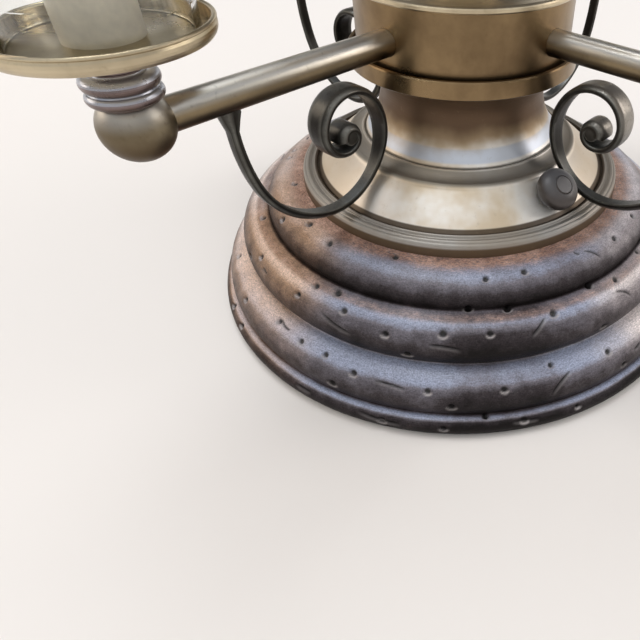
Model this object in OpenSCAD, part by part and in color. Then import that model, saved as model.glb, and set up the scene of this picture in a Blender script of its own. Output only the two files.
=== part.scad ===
// Hurricane table lamp: turned wood base, brass foot, four scrolled arms and five glass chimneys.
// Millimetres, +Z up, origin on the table under the middle of the base.
// The arms point along the four diagonals and are numbered counter-clockwise from +X +Y.

/* [Wood base] */
// Radius of the wood under the brass flange
seat_r = 88; // [86:0.5:92]
// Height of the top of the wood
wood_h = 62.4; // [60:0.2:66]
// Height of the crease under the top roll
crease_1_z = 49.8; // [48:0.2:51.4]
// Height of the crease under the middle roll
crease_2_z = 28.2; // [27.2:0.2:30]
// How far the top roll bulges past the seat
roll_1_out = 17; // [14:0.5:19]
// Radius of the middle roll's centre line
roll_2_r = 104; // [101:0.5:106]
// How far the middle roll bulges
roll_2_out = 16.5; // [14:0.5:18]
// How far the bottom roll's centre line lies in from the base's edge
roll_3_in = 21.3; // [20:0.1:23]
// How far the bottom roll bulges
roll_3_out = 16.8; // [15:0.5:18]
// Radius of the bead along the bottom edge
lip_bead_r = 4.8; // [4:0.2:5.2]
// Outer radius of the whole base
base_r = 136.3; // [134:0.5:140]
// Radius of the well under the brass foot
well_r = 76; // [74:0.5:79]
// Depth of that well
well_deep = 20; // [19:0.5:24]
// Radius of the cavity under the base
cavity_r = 92; // [80:1:96]
// Thickness of the web between well and cavity
web_t = 12; // [8:0.5:16]
// Thickness of the felt
felt_t = 1.2; // [1:0.1:2]
// How far the felt's edge lies in from the base's edge
felt_in = 6.3; // [5:0.1:10]

/* [Ballast and clamp] */
// Radius of the iron ballast disc
ballast_r = 88; // [70:1:91]
// Thickness of the ballast disc
ballast_t = 14; // [8:0.5:16]
// Radius of the clamp washer
washer_r = 18; // [12:0.5:24]
// Thickness of the clamp washer
washer_t = 2; // [1:0.25:3]
// Width across flats of the clamp nut
nut_af = 19; // [16:0.5:22]
// Height of the clamp nut
nut_h = 5; // [4:0.5:7]
// Outer radius of the threaded lamp pipe
pipe_r = 5; // [4.5:0.1:6]
// Bore radius of the lamp pipe
pipe_bore_r = 3.6; // [3:0.1:4]
// Clearance round the pipe where pieces are threaded over it
pipe_gap = 0.1; // [0.05:0.05:0.3]

/* [Cord outlet] */
// Height of the cord outlet above the table
outlet_z = 16; // [14:0.5:20]
// Bore radius of the bushing
outlet_bore_r = 3.2; // [2.5:0.1:4]
// Wall of the bushing
outlet_wall = 1.7; // [1:0.1:2.5]
// How far the bushing's flange stands out round its barrel
outlet_flange = 2.4; // [1.5:0.1:3]
// Thickness of the bushing's flange
outlet_flange_t = 2.5; // [1.5:0.1:4]
// Length of the bushing's barrel
outlet_len = 24; // [16:1:30]
// How deep the flat spot for the flange is cut into the bottom roll
outlet_face_in = 3.8; // [2.4:0.1:7.8]

/* [Brass foot] */
// Radius of the foot's flange
flange_r = 85; // [83:0.5:87]
// Height of the flange's rim
rim_h = 5.6; // [4:0.2:7]
// Width of the beaded band round the flange
band_w = 8; // [6:0.5:10]
// Radius of the rounded shoulder
shoulder_r = 58.6; // [56:0.2:62]
// Height of the shoulder above the wood
shoulder_h = 21.5; // [18:0.5:24]
// Radius of the dark groove under the bell
groove_r = 50.4; // [48:0.2:53]
// Height of that groove above the wood
groove_h = 25.2; // [23.6:0.2:27]
// Radius of the waist
waist_r = 41; // [38:0.5:44]
// Height of the waist above the wood
waist_h = 46.6; // [42:0.2:50]
// Radius of the foot's top edge
bell_top_r = 53; // [50:0.2:54]
// Height of the whole foot
foot_h = 59.7; // [57:0.1:63]
// Wall thickness of the spun foot
foot_wall = 1.6; // [1:0.1:2]

/* [Neck ring and hub] */
// Outer radius of the neck ring
ring_r = 55.1; // [54.2:0.1:58]
// Height of the neck ring
ring_h = 8; // [6:0.2:10]
// Width of the ring's thin rim
ring_rim = 1.9; // [1:0.1:2.5]
// Thickness of the ring's floor
ring_floor = 4.6; // [3:0.2:5]
// Outer radius of the hub drum
hub_r = 51; // [48:0.2:52]
// Height of the hub drum
hub_h = 29; // [27:0.5:34]
// Wall of the hub drum
hub_wall = 3; // [2:0.25:5]
// Height of the hub's domed cap
cap_h = 13; // [9:0.5:18]
// Radius of the seat on top of the cap
cap_seat_r = 21; // [18:0.5:26]

/* [Arms] */
// Height of the arm's centre line above the ring's floor
arm_up = 13.4; // [12:0.1:15]
// Distance from the lamp's axis to the middle of the end ball
arm_reach = 156.7; // [150:0.5:165]
// Outer radius of the arm tube
arm_r = 5.8; // [5.2:0.1:6.4]
// Bore radius of the arm tube
arm_bore_r = 4.2; // [3:0.1:4.4]
// How far the tube runs in past the hub's wall
arm_in = 3; // [1:0.5:6]
// Radius of the end ball
ball_r = 11.4; // [10.6:0.1:12.4]
// Height of the flat on the ball above its middle
ball_flat = 8.3; // [7.6:0.1:8.8]
// Clearance round the arm tube in its holes
arm_gap = 0.1; // [0.05:0.05:0.3]

/* [Scroll brackets] */
// Distance from the lamp's axis to the bracket's tail under the arm
scroll_reach = 126.8; // [124:0.2:130]
// Thickness of the strip in its own plane
scroll_t = 3.4; // [2.6:0.1:3.8]
// Thickness of the flared root where the tail meets the arm
scroll_root_t = 8; // [5:0.5:10]
// Width of the strip at the tail
scroll_w_tail = 5.5; // [4.5:0.1:6]
// Width of the strip round the curl
scroll_w_curl = 12.4; // [10:0.1:13]
// Thickness of the snub end in the middle of the curl
scroll_snub_t = 5.6; // [4:0.1:5.8]

/* [Candle cups] */
// Radius of the lower bead
bead_low_r = 11.1; // [10.4:0.1:12]
// Height of the lower bead
bead_low_h = 3.9; // [3.4:0.1:4.4]
// Radius of the upper bead
bead_high_r = 11.2; // [10.4:0.1:12]
// Height of the upper bead
bead_high_h = 5; // [4.4:0.1:5.6]
// Radius of the narrow neck above the beads
cup_neck_r = 7.5; // [6:0.1:8]
// Height of the narrow neck
cup_neck_h = 7; // [5:0.5:14]
// Radius of the nipple that clamps ball, cup and pan
nipple_r = 3.4; // [3:0.1:3.8]
// Radius of the glass pan
pan_r = 30.5; // [28:0.5:31.5]
// Height of the glass pan
pan_h = 7; // [5:0.5:9]
// Wall of the glass pan
pan_wall = 1.6; // [1.2:0.1:2]
// Outer radius of the candle sleeve
sleeve_r = 11; // [10:0.1:12]
// Wall of the candle sleeve
sleeve_wall = 0.9; // [0.6:0.1:1.2]
// Height of the candle sleeve
sleeve_h = 64; // [50:1:80]
// Radius of the candle bulb's glass
candle_bulb_r = 15.5; // [12:0.5:17]
// Height of the candle bulb above its socket
candle_bulb_h = 72; // [60:1:85]

/* [Column] */
// Height of the turned wood column
column_h = 112; // [90:1:150]
// Radius of the column's vase
column_r = 27; // [24:0.5:34]
// Radius of the column's ends
column_end_r = 15; // [13:0.5:18]
// Height of each brass collar
collar_h = 9; // [6:0.5:12]
// Radius of the brass collars
collar_r = 19; // [16.5:0.5:20.5]
// Radius of the main gallery
gallery_r = 47; // [44:0.5:52]
// Height of the main gallery
gallery_h = 17; // [14:0.5:22]
// Wall of the main gallery
gallery_wall = 1.8; // [1.2:0.1:2.5]
// Outer radius of the main socket
socket_r = 17; // [15.5:0.5:19]
// Height of the main socket
socket_h = 44; // [36:1:52]
// Radius of the main bulb's glass
bulb_r = 24; // [20:0.5:30]
// Height of the main bulb above its socket
bulb_h = 78; // [66:1:95]

/* [Glass] */
// Wall of every chimney
glass_t = 2; // [1.6:0.1:2.6]
// Clearance between a chimney and its seat
glass_gap = 0.3; // [0.2:0.05:0.6]
// Radius of a small chimney's foot
small_foot_r = 26; // [24:0.5:27]
// Radius of a small chimney's belly
small_belly_r = 33; // [30:0.5:34]
// Radius of a small chimney's mouth
small_mouth_r = 24; // [20:0.5:30]
// Height of a small chimney
small_h = 168; // [150:1:190]
// Radius of the main chimney's foot
main_foot_r = 40; // [38:0.5:42]
// Radius of the main chimney's belly
main_belly_r = 62; // [54:1:70]
// Radius of the main chimney's mouth
main_mouth_r = 41; // [34:0.5:50]
// Height of the main chimney
main_h = 262; // [220:1:300]

/* [Rotary switch] */
// Angle of the switch round the foot
switch_az = 304; // [290:0.5:304.5]
// Radius on the foot's face where the switch sits
switch_at_r = 67.7; // [66:0.1:69.5]
// Tilt of the switch's axis from upright
switch_tilt = 40; // [36:0.5:44]
// Radius of the knob at its widest
knob_r = 10; // [9:0.1:10.4]
// Radius of the knob's foot, which covers the ring nut
knob_foot_r = 7.8; // [7.6:0.1:8.6]
// Height at which the knob reaches its full radius
knob_low_h = 5.2; // [3:0.1:6]
// Height of the knob's straight side
knob_side_h = 1.4; // [0.6:0.1:2.4]
// Height of the knob
knob_h = 11.2; // [10:0.1:13]
// Radius of the small raised disc on the knob
knob_disc_r = 4.2; // [3:0.1:5]
// Gap between the knob and the foot
knob_gap = 0.9; // [0.6:0.1:1.5]
// Radius of the switch's shaft
shaft_r = 3; // [2.5:0.1:3.4]
// Running clearance of the shaft
shaft_gap = 0.05; // [0.02:0.01:0.1]
// Radius of the switch's threaded barrel
barrel_r = 4.7; // [4.4:0.1:5]
// How far the barrel stands out of the foot
barrel_out = 4; // [3.4:0.1:5]
// Width across flats of the ring nut
ring_nut_af = 11.6; // [11.2:0.1:12]
// Height of the ring nut
ring_nut_h = 2.4; // [1.6:0.1:2.6]
// Radius of the switch's case
case_r = 10.5; // [9:0.1:12]
// Length of the switch's case
case_len = 13; // [9:0.5:14]

/* [Hidden] */
ARMS = [1:4];
function numbered(name) = [for (i = ARMS) str(name, "_", i)];
$fn = 96;
eps = 0.01;

// Heights that follow from the sizes above
web_z = wood_h - well_deep - web_t;
foot_top_z = wood_h + foot_h;
ring_floor_z = foot_top_z + ring_floor;
arm_z = ring_floor_z + arm_up;
hub_top_z = ring_floor_z + hub_h;
cap_top_z = hub_top_z + cap_h;
column_z = cap_top_z + collar_h;
column_top_z = column_z + column_h;
gallery_z = column_top_z + collar_h;
gallery_floor_z = gallery_z + gallery_h * 0.45;
cup_z = arm_z + ball_flat;
neck_z = cup_z + bead_low_h + bead_high_h;
pan_z = neck_z + cup_neck_h;
pan_floor_z = pan_z + pan_wall + 1;
sleeve_top_z = pan_floor_z + sleeve_h;
small_z = pan_floor_z + glass_gap;
main_z = gallery_floor_z + glass_gap;
socket_top_z = gallery_floor_z + socket_h;
brass = "#a08a5c";
dark_brass = "#5c4a34";
iron = "#3a3b38";
copper = "#5a3a30";
wood = "#5a4038";
clear = [0.86, 0.93, 0.95, 0.35];

// Points along an arc from p to q that bulges by s to the left of the way from p to q
function bow(p, q, s, n = 8) =
    let (d = q - p, c = norm(d), u = d / c, v = [-u[1], u[0]],
        h = 2 * atan(2 * abs(s) / c), r = c / (2 * sin(h)), k = sign(s), m = (p + q) / 2)
    [for (i = [0:n]) let (a = -h + 2 * h * i / n) m + u * r * sin(a) + v * k * r * (cos(a) - cos(h))];

// Points of an ellipse from angle a to angle b
function oval(c, rx, rz, a, b, n = 14) =
    [for (i = [0:n]) let (t = a + (b - a) * i / n) c + [rx * cos(t), rz * sin(t)]];

module turned(points) {
    rotate_extrude($fn = 128) polygon(points);
}

module tube(r, bore, z0, z1) {
    translate([0, 0, z0]) difference() {
        cylinder(r = r, h = z1 - z0);
        translate([0, 0, -1]) cylinder(r = bore, h = z1 - z0 + 2);
    }
}

module hex(af, h) {
    cylinder(r = af / 2 / cos(30), h = h, $fn = 6);
}

module at_arm(i) {
    rotate([0, 0, 90 * i - 45]) children();
}

module at_arm_end(i) {
    at_arm(i) translate([arm_reach, 0, 0]) children();
}

// Wood base: three rolls over a beaded lip, a well on top and a cavity below.
// Each roll is part of an ellipse whose half height is a share of the step between two creases.
roll_1_b = (wood_h - crease_1_z) * 0.865;
roll_2_b = (crease_1_z - crease_2_z) * 0.605;
roll_3_b = (crease_2_z - felt_t) * 0.48;
roll_3_r = base_r - roll_3_in;
crease_lap = 0.2;
barrel_hole_gap = 0.1;
flange_hole_gap = 0.4;
outlet_face_r = roll_3_r + roll_3_out - outlet_face_in;
module wood_base() {
    a1 = asin((crease_1_z - wood_h + roll_1_b) / roll_1_b);
    barrel = outlet_bore_r + outlet_wall;
    outline = concat(
        [[0, felt_t], [0, wood_h], [seat_r - 1, wood_h]],
        oval([seat_r, wood_h - roll_1_b], roll_1_out, roll_1_b, 90, a1),
        oval([roll_2_r, crease_1_z + crease_lap - roll_2_b], roll_2_out, roll_2_b, 86, -40),
        oval([roll_3_r, crease_2_z - crease_lap - roll_3_b], roll_3_out, roll_3_b, 83, -25),
        oval([base_r - lip_bead_r, lip_bead_r], lip_bead_r, lip_bead_r, 104, -48, 10),
        [[base_r - lip_bead_r, felt_t]]
    );
    color(wood) difference() {
        turned(outline);
        translate([0, 0, wood_h - well_deep]) cylinder(r = well_r, h = well_deep + 1);
        translate([0, 0, felt_t - 1]) cylinder(r = cavity_r, h = web_z - felt_t + 1);
        cylinder(r = pipe_r + pipe_gap, h = wood_h);
        rotate([-90, 0, 0]) translate([0, -outlet_z, 0]) {
            translate([0, 0, cavity_r - 1]) cylinder(r = barrel + barrel_hole_gap, h = base_r);
            translate([0, 0, outlet_face_r])
                cylinder(r = barrel + outlet_flange + flange_hole_gap, h = base_r);
        }
    }
}

module felt_pad() {
    color("#2f3a33") cylinder(r = base_r - felt_in, h = felt_t);
}

module ballast() {
    color("#34322f") tube(ballast_r, pipe_r + pipe_gap, web_z - ballast_t, web_z);
}

module base_washer() {
    color(brass) tube(washer_r, pipe_r + pipe_gap, web_z - ballast_t - washer_t, web_z - ballast_t);
}

nut_z = web_z - ballast_t - washer_t - nut_h;
module base_nut() {
    color(brass) difference() {
        translate([0, 0, nut_z]) hex(nut_af, nut_h);
        cylinder(r = pipe_r + pipe_gap / 2, h = wood_h);
    }
}

module lamp_pipe() {
    color(brass) tube(pipe_r, pipe_bore_r, nut_z - 1.5, pipe_top_z);
}

module cord_bushing() {
    r = outlet_bore_r + outlet_wall;
    color("#20201e") rotate([-90, 0, 0]) translate([0, -outlet_z, outlet_face_r]) difference() {
        union() {
            translate([0, 0, -outlet_len]) cylinder(r = r, h = outlet_len + 1);
            cylinder(r = r + outlet_flange, h = outlet_flange_t);
        }
        translate([0, 0, -outlet_len - 1]) cylinder(r = outlet_bore_r, h = outlet_len + outlet_flange_t + 2);
    }
}

// Brass foot: beaded band, sloping face, shoulder, cove, dark groove and a bell with a waist
band_in_r = flange_r - band_w;
band_z = wood_h + rim_h + 1;
shoulder_z = wood_h + shoulder_h;
groove_z = wood_h + groove_h;
waist_z = wood_h + waist_h;
module foot_shell() {
    bead = band_w * 0.26;
    w = foot_wall;
    outer = concat(
        [[flange_r, wood_h], [flange_r - 0.4, band_z - 2]],
        bow([flange_r - 0.5, band_z - 1.6], [flange_r - 2.1, band_z], -0.5, 4),
        bow([flange_r - 2.1, band_z], [flange_r - 2.1 - bead, band_z + 0.2], -0.7, 5),
        bow([flange_r - 2.3 - bead, band_z + 0.2], [band_in_r + bead + 0.3, band_z + 0.3], 0.4, 4),
        bow([band_in_r + bead, band_z + 0.3], [band_in_r + 0.2, band_z + 0.4], -0.7, 5),
        [[band_in_r, band_z - 0.6], [band_in_r - 0.5, band_z - 0.8], [band_in_r - 0.9, band_z - 0.1]],
        bow([band_in_r - 1, band_z], [shoulder_r + 2.4, shoulder_z - 2], -0.15, 8),
        bow([shoulder_r + 2, shoulder_z - 1.6], [shoulder_r - 1.2, shoulder_z + 0.4], -0.6, 6),
        bow([shoulder_r - 1.4, shoulder_z + 0.45], [groove_r + 1.3, groove_z - 0.1], 0.5, 6),
        [[groove_r + 0.6, groove_z], [groove_r, groove_z - 0.9], [groove_r - 0.6, groove_z - 0.6]],
        bow([groove_r - 0.8, groove_z + 0.6], [waist_r + 1, waist_z - 6], 1.2, 12),
        bow([waist_r + 0.9, waist_z - 5.6], [waist_r + 1.4, waist_z + 5.6], 1, 8),
        bow([waist_r + 1.6, waist_z + 6.2], [bell_top_r, foot_top_z], 2, 8)
    );
    inner = concat(
        bow([bell_top_r - w, foot_top_z], [waist_r + 1.4 - w, waist_z + 5.6], -1.8, 6),
        bow([waist_r + 1.2 - w, waist_z + 5], [waist_r + 0.8 - w, waist_z - 5.6], -0.9, 6),
        bow([waist_r + 1 - w, waist_z - 6.4], [groove_r - 1.6 - w, groove_z - 0.4], -1.2, 8),
        [[shoulder_r - w * 0.7, shoulder_z - w], [band_in_r - 0.6, band_z - w - 0.9]],
        [[flange_r - 0.4 - w, band_z - w - 0.9], [flange_r - 0.4 - w, wood_h]]
    );
    color(brass) difference() {
        turned(concat(outer, inner));
        switch_frame() cylinder(r = barrel_r + 0.15, h = 20, center = true);
    }
}

module neck_ring() {
    top = foot_top_z + ring_h;
    color(brass) difference() {
        turned([[0, foot_top_z], [ring_r - 0.5, foot_top_z], [ring_r, foot_top_z + 0.5],
            [ring_r, top - 0.6], [ring_r - 0.5, top], [ring_r - ring_rim, top],
            [ring_r - ring_rim, ring_floor_z], [0, ring_floor_z]]);
        translate([0, 0, foot_top_z - 1]) cylinder(r = pipe_r + pipe_gap, h = ring_h + 2);
    }
}

module arm_hub() {
    color(dark_brass) difference() {
        translate([0, 0, ring_floor_z]) cylinder(r = hub_r, h = hub_h);
        translate([0, 0, ring_floor_z + hub_wall]) cylinder(r = hub_r - hub_wall, h = hub_h);
        translate([0, 0, ring_floor_z - 1]) cylinder(r = pipe_r + pipe_gap, h = hub_wall + 2);
        for (i = ARMS) at_arm(i) translate([hub_r - hub_wall * 2, 0, arm_z]) rotate([0, 90, 0])
            cylinder(r = arm_r + arm_gap, h = hub_wall * 3);
    }
}

module hub_cap() {
    lid = 2;
    color(brass) difference() {
        turned(concat(
            [[0, hub_top_z], [hub_r + 1, hub_top_z], [hub_r + 1.4, hub_top_z + 0.6]],
            bow([hub_r + 1.4, hub_top_z + 1.2], [hub_r + 0.4, hub_top_z + 2.4], -0.4, 3),
            bow([hub_r - 1, hub_top_z + 2.6], [cap_seat_r + 3, cap_top_z - 2], 3.2, 12),
            [[cap_seat_r + 0.8, cap_top_z - 0.6], [cap_seat_r, cap_top_z], [0, cap_top_z]]
        ));
        translate([0, 0, hub_top_z - 1]) cylinder(r = pipe_r + pipe_gap, h = cap_h + 2);
        translate([0, 0, hub_top_z - eps]) cylinder(r = cap_seat_r - 2, h = cap_h - lid * 2);
    }
}

module arm_tube() {
    start = hub_r - hub_wall - arm_in;
    color(brass) translate([start, 0, arm_z]) rotate([0, 90, 0]) difference() {
        cylinder(r = arm_r, h = arm_reach - start - arm_r);
        translate([0, 0, -1]) cylinder(r = arm_bore_r, h = arm_reach - start);
    }
}

// End ball with a socket for the tube, a flat on top and a wire way between them
module ball() {
    color(dark_brass) translate([arm_reach, 0, arm_z]) difference() {
        sphere(r = ball_r);
        translate([0, 0, ball_flat]) cylinder(r = ball_r, h = ball_r);
        translate([-ball_r - 1, 0, 0]) rotate([0, 90, 0])
            cylinder(r = arm_r + arm_gap, h = ball_r + 1 - arm_r + 0.1);
        translate([-arm_r - 1, 0, 0]) rotate([0, 90, 0]) cylinder(r = arm_bore_r - 0.6, h = arm_r + 1);
        cylinder(r = nipple_r + 0.1, h = ball_r);
    }
}

// Scroll bracket: one strip along arcs that tighten into a curl, each arc given as radius and sweep
scroll_arcs = [[80, 2], [80, 3], [80, 17], [42, 60], [28.5, 45], [29.5, 45], [26.5, 60], [15.8, 60],
    [14.2, 60], [13, 60], [9.2, 60], [6.2, 60], [4.6, 60], [4, 60], [3.6, 60], [3.2, 30]];
scroll_start = -86;
scroll_step = 7.5;
// Stations along the strip: position, heading and length run so far
function arc_from(p, h, l, r, sweep) =
    let (n = max(1, round(sweep / scroll_step)), c = p + r * [sin(h), -cos(h)])
    [for (i = [1:n]) let (a = h - sweep * i / n) [c - r * [sin(a), -cos(a)], a, l + r * sweep * PI / 180 * i / n]];
function stations(k, done) =
    k == len(scroll_arcs) ? done :
    let (s = done[len(done) - 1])
    stations(k + 1, concat(done, arc_from(s[0], s[1], s[2], scroll_arcs[k][0], scroll_arcs[k][1])));
scroll_path = stations(0, [[[scroll_reach, arm_z - arm_r - eps], scroll_start, 0]]);
scroll_len = scroll_path[len(scroll_path) - 1][2];
// Lengths along the strip at which it starts to widen, is nearly wide and is fully wide
scroll_widen = [105, 132, 160];
scroll_root_len = 7;
scroll_snub_len = 12;
// Section of the strip: flat on the inside of the curl, bevelled on the outside
function scroll_ring(s) =
    let (w = lookup(s[2], [[0, scroll_w_tail], [scroll_widen[0], scroll_w_tail + 0.5],
            [scroll_widen[1], scroll_w_curl * 0.8], [scroll_widen[2], scroll_w_curl]]) / 2,
        t = lookup(s[2], [[0, scroll_root_t], [scroll_root_len, scroll_t],
            [scroll_len - scroll_snub_len, scroll_t], [scroll_len, scroll_snub_t]]) / 2,
        n = [-sin(s[1]), cos(s[1])])
    [for (q = [[-w * 0.9, -t], [w * 0.9, -t], [w, -t * 0.6], [w, t * 0.2], [w * 0.62, t], [-w * 0.62, t],
            [-w, t * 0.2], [-w, -t * 0.6]])
        [s[0][0] + n[0] * q[1], q[0], s[0][1] + n[1] * q[1]]];
module scroll() {
    m = 8;
    last = len(scroll_path) - 1;
    points = [for (s = scroll_path) each scroll_ring(s)];
    sides = [for (i = [0:last - 1], j = [0:m - 1]) let (k = (j + 1) % m)
        each [[i * m + j, i * m + k, (i + 1) * m + j], [i * m + k, (i + 1) * m + k, (i + 1) * m + j]]];
    caps = [for (j = [1:m - 2]) each [[0, j + 1, j], [last * m, last * m + j, last * m + j + 1]]];
    color(iron) polyhedron(points, concat(sides, caps));
}

// Turned cup: two glossy beads over the ball, then a narrow neck that carries the glass pan
module candle_cup() {
    low = bead_low_h / 2;
    high = bead_high_h / 2;
    color(copper) translate([arm_reach, 0, 0]) difference() {
        turned(concat(
            [[0, cup_z], [bead_low_r - low * 0.62, cup_z]],
            oval([bead_low_r - low, cup_z + low], low, low, -66, 66, 10),
            oval([bead_high_r - high, cup_z + bead_low_h + high], high, high, -66, 90, 12),
            bow([bead_high_r - high - 0.9, neck_z - 0.2], [cup_neck_r, neck_z + 1], 0.3, 4),
            bow([cup_neck_r, neck_z + 1.4], [cup_neck_r + 1.6, pan_z], 1, 6),
            [[0, pan_z]]
        ));
        translate([0, 0, cup_z - 1]) cylinder(r = nipple_r + 0.1, h = pan_z - cup_z + 2);
    }
}

module arm_nipples() {
    color(brass) for (i = ARMS) at_arm_end(i)
        tube(nipple_r, nipple_r - 1, arm_z + arm_bore_r - 0.4, nipple_top_z);
}

// Saucer that holds a small chimney inside its raised rim
module glass_pan() {
    w = pan_wall;
    color(brass) translate([arm_reach, 0, 0]) difference() {
        turned(concat(
            [[0, pan_z], [cup_neck_r + 3, pan_z]],
            bow([cup_neck_r + 3.2, pan_z + 0.2], [pan_r - 1.2, pan_floor_z - 0.8], 0.6, 6),
            bow([pan_r - 1, pan_floor_z - 0.6], [pan_r - 0.4, pan_z + pan_h - 1.2], -0.6, 5),
            oval([pan_r - 0.8, pan_z + pan_h - 0.8], 0.8, 0.8, 0, 180, 8),
            [[pan_r - w, pan_floor_z], [0, pan_floor_z]]
        ));
        translate([0, 0, pan_z - 1]) cylinder(r = nipple_r + 0.1, h = pan_h + 2);
    }
}

// Small sockets, each a drum on a stem that screws over the nipple
candle_socket_r = sleeve_r - sleeve_wall - 0.6;
candle_socket_h = 26;
candle_socket_z = sleeve_top_z - candle_socket_h - 1;
candle_stem_wall = 1.8;
candle_seat_z = candle_socket_z + 8;
candle_cap_r = 6.2;
nipple_top_z = pan_floor_z + 5;
module candle_sockets() {
    color("#d8d2c4") for (i = ARMS) at_arm_end(i) difference() {
        union() {
            translate([0, 0, candle_socket_z]) cylinder(r = candle_socket_r, h = candle_socket_h);
            translate([0, 0, pan_floor_z])
                cylinder(r = nipple_r + candle_stem_wall, h = candle_socket_z - pan_floor_z + 1);
        }
        translate([0, 0, candle_seat_z]) cylinder(r = candle_cap_r, h = candle_socket_h);
        translate([0, 0, pan_floor_z - 1]) cylinder(r = nipple_r + 0.1, h = nipple_top_z - pan_floor_z + 2);
    }
}

module candle_sleeve() {
    color("#e6dcc0") translate([arm_reach, 0, 0])
        tube(sleeve_r, sleeve_r - sleeve_wall, pan_floor_z, sleeve_top_z);
}

// Flame bulb with its screw cap inside the socket
module candle_bulb() {
    z = sleeve_top_z;
    cap_r = candle_cap_r - 0.1;
    color([1, 0.94, 0.8, 0.6]) translate([arm_reach, 0, 0]) turned(concat(
        [[0, candle_seat_z + 0.2], [cap_r - 2, candle_seat_z + 0.2], [cap_r, candle_seat_z + 2]],
        [[cap_r, z + 1]],
        bow([cap_r + 1.4, z + 1.2], [candle_bulb_r, z + candle_bulb_h * 0.34], -1.6, 8),
        bow([candle_bulb_r, z + candle_bulb_h * 0.36], [3, z + candle_bulb_h * 0.92], -3.2, 10),
        bow([2.6, z + candle_bulb_h * 0.94], [0, z + candle_bulb_h], -0.4, 3)
    ));
}

// Chimney outline from foot to mouth: straight fitter, belly, then a long drawn-in throat
function chimney_side(z, h, foot, belly, mouth) = concat(
    [[foot, z], [foot, z + h * 0.05]],
    [for (i = [0:10]) let (t = i / 10) [foot + (belly - foot) * (1 - cos(180 * t)) / 2, z + h * (0.05 + 0.25 * t)]],
    [for (i = [1:12]) let (t = i / 12) [belly + (mouth * 0.9 - belly) * (1 - cos(180 * t)) / 2, z + h * (0.3 + 0.52 * t)]],
    [for (i = [1:5]) let (t = i / 5) [mouth * (0.9 + 0.1 * t * t), z + h * (0.82 + 0.18 * t)]]
);
module chimney_glass(z, h, foot, belly, mouth) {
    side = chimney_side(z, h, foot, belly, mouth);
    n = len(side);
    color(clear) turned(concat(side, [for (i = [n - 1:-1:0]) side[i] - [glass_t, 0]]));
}

module chimney() {
    translate([arm_reach, 0, 0]) chimney_glass(small_z, small_h, small_foot_r, small_belly_r, small_mouth_r);
}

module main_chimney() {
    chimney_glass(main_z, main_h, main_foot_r, main_belly_r, main_mouth_r);
}

// Brass collar, wider at the end that meets the wood
module collar(z, flip) {
    a = flip ? z + collar_h : z;
    k = flip ? -1 : 1;
    color(brass) difference() {
        turned(concat(
            [[0, a], [collar_r - 1, a]],
            oval([collar_r - 1, a + k * 1.6], 1.6, 1.6 * k, -90, 90, 8),
            bow([collar_r - 2, a + k * 3.4], [column_end_r + 1.6, a + k * (collar_h - 1.6)], k * 0.6, 5),
            [[column_end_r + 1.6, a + k * collar_h], [0, a + k * collar_h]]
        ));
        translate([0, 0, z - 1]) cylinder(r = pipe_r + pipe_gap, h = collar_h + 2);
    }
}

module column_foot() {
    collar(cap_top_z, false);
}

module column_top() {
    collar(column_top_z, true);
}

// Turned wood column: ring, vase and a long neck
module column() {
    z = column_z;
    h = column_h;
    e = column_end_r;
    color(wood) difference() {
        turned(concat(
            [[0, z], [e, z]],
            oval([e - 1, z + 5], 4.5, 4.5, -76, 76, 8),
            [[e - 1.5, z + 10.5], [e - 1.5, z + 12]],
            bow([e, z + 13], [column_r, z + h * 0.4], -2.6, 9),
            bow([column_r, z + h * 0.41], [e - 1, z + h * 0.72], -4, 9),
            bow([e - 1.2, z + h * 0.73], [e - 2, z + h - 11], 0.6, 5),
            oval([e - 1, z + h - 5], 4.5, 4.5, -76, 76, 8),
            [[e, z + h], [0, z + h]]
        ));
        translate([0, 0, z - 1]) cylinder(r = pipe_r + pipe_gap, h = h + 2);
    }
}

// Gallery: dish under the main chimney with a raised rim
module gallery() {
    w = gallery_wall;
    top = gallery_z + gallery_h;
    color(brass) difference() {
        turned(concat(
            [[0, gallery_z], [collar_r - 1, gallery_z]],
            bow([collar_r, gallery_z + 0.4], [gallery_r - 2, gallery_floor_z - 1], -1.2, 8),
            bow([gallery_r - 1.4, gallery_floor_z - 0.4], [gallery_r - 0.6, top - 1.2], 0.4, 5),
            oval([gallery_r - 1.2, top - 1], 1.2, 1, 0, 180, 8),
            [[gallery_r - 2 - w, gallery_floor_z], [0, gallery_floor_z]]
        ));
        translate([0, 0, gallery_z - 1]) cylinder(r = pipe_r + pipe_gap, h = gallery_h + 2);
    }
}

bulb_cap_r = 13;
socket_cup_h = 9;
socket_seat_z = gallery_floor_z + 16;
pipe_top_z = gallery_floor_z + 6;
module main_socket() {
    color(brass) difference() {
        translate([0, 0, gallery_floor_z]) {
            cylinder(r1 = socket_r * 0.7, r2 = socket_r, h = socket_cup_h);
            translate([0, 0, socket_cup_h]) cylinder(r = socket_r, h = socket_h - socket_cup_h);
            translate([0, 0, socket_h * 0.42]) cylinder(r = socket_r + 1, h = 3);
        }
        translate([0, 0, socket_seat_z]) cylinder(r = bulb_cap_r + 0.2, h = socket_h);
        translate([0, 0, gallery_floor_z - 1])
            cylinder(r = pipe_r + pipe_gap, h = pipe_top_z - gallery_floor_z + 2);
    }
}

module main_bulb() {
    z = socket_top_z;
    color([1, 0.95, 0.85, 0.6]) turned(concat(
        [[0, socket_seat_z + 0.2], [bulb_cap_r - 5, socket_seat_z + 0.2]],
        [[bulb_cap_r, socket_seat_z + 4], [bulb_cap_r, z + 2]],
        bow([bulb_cap_r + 0.4, z + 3], [bulb_r, z + bulb_h - bulb_r * 1.05], 1, 8),
        oval([0, z + bulb_h - bulb_r], bulb_r, bulb_r, 0, 90, 14)
    ));
}

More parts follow.
